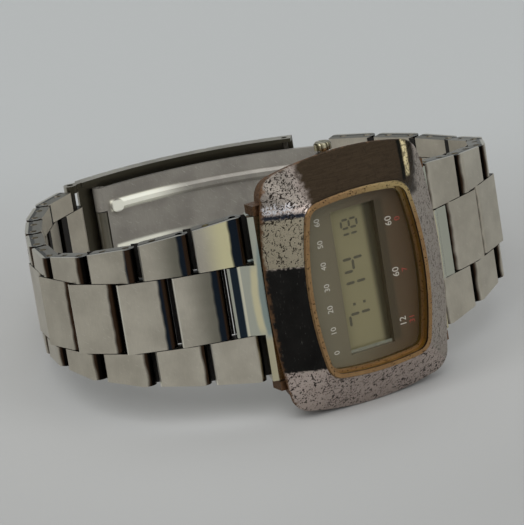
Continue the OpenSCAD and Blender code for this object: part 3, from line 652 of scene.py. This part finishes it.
for node, width in (("end_link_12", 0.1), ("end_link_6", 0.1), ("window_rim", 0.12),
                    ("pusher", 0.08), ("clasp_cover", 0.06), ("case_body", 0.12)):
    soften(node, width)

# Looks of the first units by the case, by side and number, and of the others on each side: how far
# the painted dark end reaches, the painted shade and the painted golden highlight
UNIT_LOOKS = {("12", 1): ((0.9, 0.5, -0.7), (0.1, 0.8, 0.0), 0.9),
              ("12", 2): ((0.35, 0.15, -0.55), (0.85, 0.1, 0.0), 0),
              ("12", 3): ((-0.25, -0.45, -0.7), (0.1, 0.0, 0.0), 0)}
OTHER_LOOKS = {"12": ((-0.6, -0.5, -0.7), (0.0, 0.0, 0.0), 0),
               "6": ((-0.8, -0.8, -0.8), (0.0, 0.0, 0.0), 0)}

# Dark fill that stands in for the shade low in the bracelet's gaps, in millimetres from a unit's
# hinge: where it lies along the unit, and its levels out from the pins. An outer row's fill starts
# at the links' square end.
# The case's fill lies on the other side of the first hinge.
CENTRE_FILL, CENTRE_LEVELS = (2.25, 3.7), (-1.3, -1.18)
SQUARE_END = 6.1
OUTER_FILL, OUTER_LEVELS = (SQUARE_END, SQUARE_END + 1.15), (-1.2, -1.08)
CASE_FILL, CASE_HALF_WIDTH = (-2.3, -0.75), 12.4
# Dark colour of the fill that stands in for shade in the gaps
shade_fill = plain("gap_shade", (24, 20, 16), 0.9)

BOX_FACES = ((0, 1, 3, 2), (4, 6, 7, 5), (0, 4, 5, 1), (2, 3, 7, 6), (0, 2, 6, 4), (1, 5, 7, 3))


def lining(name, hinge, direction, outward, boxes, body):
    """Dark fill of painted shade beside a unit; boxes give along, out and up ranges in millimetres.
    """
    mesh = bmesh.new()
    for along, out, up in boxes:
        corners = [mesh.verts.new(hinge + direction * (a * MM) + outward * (o * MM)
                                  + TO_3 * (c * MM + MID_V - hinge.dot(TO_3)))
                   for a in along for o in out for c in up]
        for face in BOX_FACES:
            mesh.faces.new([corners[i] for i in face])
    add_piece(name, mesh_data(name, mesh), shade_fill, body)


def outer_rows(along, half_width):
    """Boxes of both outer rows, just inside the given half width."""
    inner, outer = CENTRE_ROW + 0.15, half_width - 0.1
    return [(along, OUTER_LEVELS, up) for up in ((-outer, -inner), (inner, outer))]


def half_width_at_end(node, hinge, direction):
    """Half width of a unit's outer links near their square ends, in millimetres."""
    widths = []
    for vertex in nodes[node].data.vertices:
        along = (vertex.co - hinge).dot(direction) / MM
        width = abs(vertex.co.dot(TO_3) - MID_V) / MM
        if 5.5 < along < 6.5 and width > CENTRE_ROW + 0.3:
            widths.append(width)
    return max(widths)


def dress_unit(side, number, count, hinge, direction):
    """Material, soft edges and gap fill of one link unit."""
    link = "link_%s_%d" % (side, number)
    outward = TO_3.cross(direction) * (1 if side == "12" else -1)
    look = UNIT_LOOKS.get((side, number), OTHER_LOOKS[side])
    dress(link, link_steel(link + "_steel", hinge, direction, outward, look))
    soften(link, 0.08)
    boxes = [(CENTRE_FILL, CENTRE_LEVELS, (0.05 - CENTRE_ROW, CENTRE_ROW - 0.05))]
    if number < count:
        boxes += outer_rows(OUTER_FILL, half_width_at_end(link, hinge, direction))
    lining("gap_dirt_%s_%d" % (side, number), hinge, direction, outward, boxes,
           "unit_%s_%d" % (side, number))
    if number == 1:
        lining("gap_dirt_%s_0" % side, hinge, direction, outward,
               outer_rows(CASE_FILL, CASE_HALF_WIDTH), "case")


for side, last in (("12", "cover_hinge"), ("6", "blade_hinge")):
    count = sum(name.startswith("link_%s_" % side) for name in nodes)
    hinges = ["hinge_%s_%d" % (side, number) for number in range(1, count + 1)] + [last]
    places = [Vector(joints[hinge]["pos_m"]) for hinge in hinges]
    for number in range(1, count + 1):
        hinge, following = places[number - 1:number + 1]
        dress_unit(side, number, count, hinge, (following - hinge).normalized())

# The return spring's wire in metres, and how finely it is drawn
SPRING_WIRE = 0.16 * MM
SPRING_TURNS, STEPS_PER_TURN, WIRE_SIDES = 4, 24, 10


def return_spring():
    """The pusher's coil spring, drawn over the CAD spring, which it replaces."""
    low, high = span("pusher_spring", TO_3)
    radius = (extent("pusher_spring", TO_6) - SPRING_WIRE) / 2
    axis_line = (TO_6 * middle("pusher_spring", TO_6)
                 + TO_FRONT * middle("pusher_spring", TO_FRONT))
    steps = SPRING_TURNS * STEPS_PER_TURN
    angles = [2 * math.pi * k / WIRE_SIDES for k in range(WIRE_SIDES)]
    mesh = bmesh.new()
    rings = []
    for i in range(steps + 1):
        turn = 2 * math.pi * i / STEPS_PER_TURN
        away = TO_6 * math.cos(turn) + TO_FRONT * math.sin(turn)
        rise = low + SPRING_WIRE / 2 + (high - low - SPRING_WIRE) * i / steps
        centre = axis_line + away * radius + TO_3 * rise
        rings.append([mesh.verts.new(centre + (away * math.cos(b) + TO_3 * math.sin(b))
                                     * SPRING_WIRE / 2) for b in angles])
    for one, two in zip(rings, rings[1:]):
        for k in range(WIRE_SIDES):
            mesh.faces.new([one[k - 1], one[k], two[k], two[k - 1]]).smooth = True
    mesh.faces.new(rings[0])
    mesh.faces.new(rings[-1])
    piece = add_piece("return_spring", mesh_data("return_spring", mesh), pin_steel, "case")
    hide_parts("pusher_spring")
    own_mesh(piece)


return_spring()

# Thickness of the ink, and its distance from the display's glass, in metres
INK, INK_GAP = 0.012 * MM, 0.004 * MM


def flat_piece(name, shapes, w, material):
    """Thin flat shapes on the dial, each a list of (u, v) corners, as one piece."""
    mesh = bmesh.new()
    for shape in shapes:
        lower = [mesh.verts.new(on_dial(u, v, w)) for u, v in shape]
        upper = [mesh.verts.new(on_dial(u, v, w + INK)) for u, v in shape]
        mesh.faces.new(upper)
        mesh.faces.new(list(reversed(lower)))
        for i in range(len(shape)):
            j = (i + 1) % len(shape)
            mesh.faces.new([lower[i], lower[j], upper[j], upper[i]])
    add_piece(name, mesh_data(name, mesh), material, "case")


def rectangle(u, v, half_u, half_v):
    return [(u - half_u, v - half_v), (u + half_u, v - half_v),
            (u + half_u, v + half_v), (u - half_u, v + half_v)]


# Segments that each figure lights: a top, b and c right, d bottom, e and f left, g middle
SEGMENTS = {"0": "abcdef", "1": "bc", "2": "abged", "3": "abgcd", "4": "fgbc", "5": "afgcd",
            "6": "afgedc", "7": "abc", "8": "abcdefg", "9": "abcdfg"}


def figure(digit, centre_v, centre_u, height, width, stroke):
    """Seven-segment figure whose top points to 12 o'clock and that reads towards 3 o'clock."""
    half, mid, s = width / 2, height / 2, stroke / 2
    gap = stroke * 0.35
    bars = {"a": (-half, half, mid, mid), "g": (-half, half, 0, 0), "d": (-half, half, -mid, -mid),
            "f": (-half, -half, 0, mid), "b": (half, half, 0, mid),
            "e": (-half, -half, -mid, 0), "c": (half, half, -mid, 0)}
    shapes = []
    for name in SEGMENTS[digit]:
        x0, x1, y0, y1 = bars[name]
        if y0 == y1:
            corners = [(x0 + gap, y0), (x0 + gap + s, y0 + s), (x1 - gap - s, y0 + s),
                       (x1 - gap, y0), (x1 - gap - s, y0 - s), (x0 + gap + s, y0 - s)]
        else:
            corners = [(x0, y0 + gap), (x0 - s, y0 + gap + s), (x0 - s, y1 - gap - s),
                       (x0, y1 - gap), (x0 + s, y1 - gap - s), (x0 + s, y0 + gap + s)]
        shapes.append([(centre_u - y, centre_v + x) for x, y in corners])
    return shapes


# Display: large figures and a smaller pair, each with its v in millimetres, and the colon
DIGIT_U, COLON_V = -0.6, -3.9
LARGE = {"height": 3.6, "width": 1.9, "stroke": 0.42}
SMALL = {"height": 2.6, "width": 1.3, "stroke": 0.34}

time_shapes = []
for digit, v in (("7", -6.3), ("1", -1.6), ("4", 2.0)):
    time_shapes += figure(digit, v, DIGIT_U, **LARGE)
for digit, v in (("1", 6.0), ("8", 8.2)):
    time_shapes += figure(digit, v, DIGIT_U + 0.3, **SMALL)
for u in (DIGIT_U - 0.8, DIGIT_U + 0.9):
    time_shapes.append(rectangle(u, COLON_V, 0.22, 0.2))
digit_ink = plain("digit_ink", (78, 74, 56), 0.4)
flat_piece("time_figures", time_shapes, LCD_W + INK_GAP, digit_ink)


def printed(name, text, v, u, size, material):
    """Plain numbers printed on the mask, reading towards 3 o'clock."""
    curve = bpy.data.curves.new(name, "FONT")
    curve.body = text
    curve.size = size * MM
    curve.align_x = "CENTER"
    curve.align_y = "CENTER"
    curve.extrude = INK / 2
    outline = place_in_scene(name + "_curve", curve)
    bpy.context.view_layer.update()
    depsgraph = bpy.context.evaluated_depsgraph_get()
    data = bpy.data.meshes.new_from_object(outline.evaluated_get(depsgraph))
    bpy.data.objects.remove(outline)
    turn = Matrix((TO_3, -TO_6, TO_FRONT)).transposed().to_4x4()
    data.transform(Matrix.Translation(on_dial(u, v, MASK_W + INK)) @ turn)
    add_piece(name, data, material, "case")


# Printed marks: white and red numbers on the 6 o'clock side, and a scale on the other side. Each
# row has its u and the size of its type, in millimetres.
WHITE_U, WHITE_SIZE = 5.6, 1.5
RED_U, RED_SIZE = 7.1, 1.3
SCALE_U, SCALE_SIZE = -6.0, 1.25
SCALE_V, SCALE_STEP, SCALE_COUNT = -9.9, 3.3, 7
white_ink = plain("white_ink", (206, 202, 190), 0.6)
red_ink = plain("red_ink", (168, 56, 48), 0.6)
for name, white, red, v in (("hours", "12", "31", -8.2), ("minutes", "60", "7", -0.6),
                            ("seconds", "60", "0", 7.2)):
    printed("mark_" + name, white, v, WHITE_U, WHITE_SIZE, white_ink)
    printed("mark_red_" + name, red, v, RED_U, RED_SIZE, red_ink)
for i in range(SCALE_COUNT):
    number = str(i * 10)
    printed("scale_" + number, number, SCALE_V + i * SCALE_STEP, SCALE_U, SCALE_SIZE, white_ink)

# Painted highlight of the recess glass's edge at its 9 o'clock end: a light strip, with its depth
# below the mask in metres
SILL_V, SILL_HALF_U, SILL_HALF_V, SILL_DEPTH = -10.64, 3.6, 0.24, 0.6 * MM
flat_piece("recess_sill", [rectangle(0, SILL_V, SILL_HALF_U, SILL_HALF_V)], MASK_W - SILL_DEPTH,
           sill_highlight())


# Direction away from the camera along the floor
BEHIND = Vector((0.465, 0.885, 0))


def stage_grey():
    """Pale grey, with a painted pool of light near the watch, and cooler far behind it."""
    s = Shader("stage_grey", roughness=0.9, specular=0.1)
    blur = s.times(s.noise(s.place, 8.0, 2.0), 20.0)
    far = s.step(s.plus(s.along(BEHIND), blur), 25.0, 95.0)
    distance = s.new("ShaderNodeVectorMath", operation="LENGTH")
    s.feed(distance.inputs[0], s.place)
    # Painted light near the watch, which lifts the shadows under it
    near = s.step(s.math("DIVIDE", distance.outputs["Value"], MM), 75.0, 30.0)
    front = s.mix(s.step(s.along(TO_6), -80.0, 80.0), srgb(173, 173, 171), srgb(166, 166, 164))
    front = s.mix(near, front, srgb(184, 184, 182))
    s.colour(s.mix(far, front, srgb(181, 183, 182)))
    return s.material


def stage_sweep():
    """Pale floor that curves up into a wall behind the watch, in metres."""
    half_width, front, back, radius, height, steps = 6.0, -3.0, 1.1, 0.5, 3.0, 16
    under = 0.02 * MM
    angles = [math.pi / 2 * i / steps for i in range(steps + 1)]
    profile = [(front, 0.0)]
    profile += [(back + radius * math.sin(a), radius * (1 - math.cos(a))) for a in angles]
    profile.append((back + radius, height))
    mesh = bmesh.new()
    rows = [[mesh.verts.new((x, y, z - under)) for x in (-half_width, half_width)]
            for y, z in profile]
    for one, two in zip(rows, rows[1:]):
        mesh.faces.new([one[0], one[1], two[1], two[0]]).smooth = True
    data = bpy.data.meshes.new("stage_sweep")
    mesh.to_mesh(data)
    mesh.free()
    data.materials.append(stage_grey())
    place_in_scene("stage_sweep", data)


def lamp(name, place, size, power):
    """Soft rectangular lamp that points at the watch, with its place and size in metres."""
    light = bpy.data.lights.new(name, "AREA")
    light.shape = "RECTANGLE"
    light.size, light.size_y = size
    light.energy = power
    holder = place_in_scene(name, light)
    holder.location = place
    holder.rotation_euler = (-Vector(place)).to_track_quat("-Z", "Y").to_euler()


def room_light(colour, strength):
    """Even light from all around."""
    world = bpy.data.worlds.new("room")
    bpy.context.scene.world = world
    world.use_nodes = True
    background = world.node_tree.nodes["Background"]
    background.inputs["Color"].default_value = colour
    background.inputs["Strength"].default_value = strength


stage_sweep()
lamp("key", place=(-0.9, -0.6, 1.5), size=(1.8, 1.4), power=14.8)
lamp("fill", place=(0.9, -1.2, 1.1), size=(1.2, 1.2), power=5.0)
lamp("rear", place=(0.2, 0.9, 1.3), size=(1.8, 0.8), power=5.0)
room_light((0.8, 0.82, 0.84, 1), 0.74)

# Camera, with its place in metres and its lens and sensor in millimetres
CAMERA_PLACE = Vector((-0.28194, -0.53776, 0.27884))
CAMERA_AZIMUTH, CAMERA_ELEVATION, CAMERA_ROLL = map(math.radians, (-27.709, 23.742, -4.535))
LENS, SENSOR = 299.73, 36.0


def photo_camera():
    """Camera fitted to the corners, gaps and outline that the photograph shows."""
    away = Vector((math.sin(CAMERA_AZIMUTH) * math.cos(CAMERA_ELEVATION),
                   -math.cos(CAMERA_AZIMUTH) * math.cos(CAMERA_ELEVATION),
                   math.sin(CAMERA_ELEVATION)))
    level = Vector((math.cos(CAMERA_AZIMUTH), math.sin(CAMERA_AZIMUTH), 0))
    upright = away.cross(level)
    right = level * math.cos(CAMERA_ROLL) + upright * math.sin(CAMERA_ROLL)
    turn = Matrix((right, away.cross(right), away)).transposed().to_4x4()
    data = bpy.data.cameras.new("photo_camera")
    data.sensor_fit = "HORIZONTAL"
    data.sensor_width = SENSOR
    data.lens = LENS
    data.clip_start = 0.01
    camera = place_in_scene("photo_camera", data)
    camera.matrix_world = Matrix.Translation(CAMERA_PLACE) @ turn
    bpy.context.scene.camera = camera


photo_camera()
bpy.context.scene.view_settings.view_transform = "Standard"
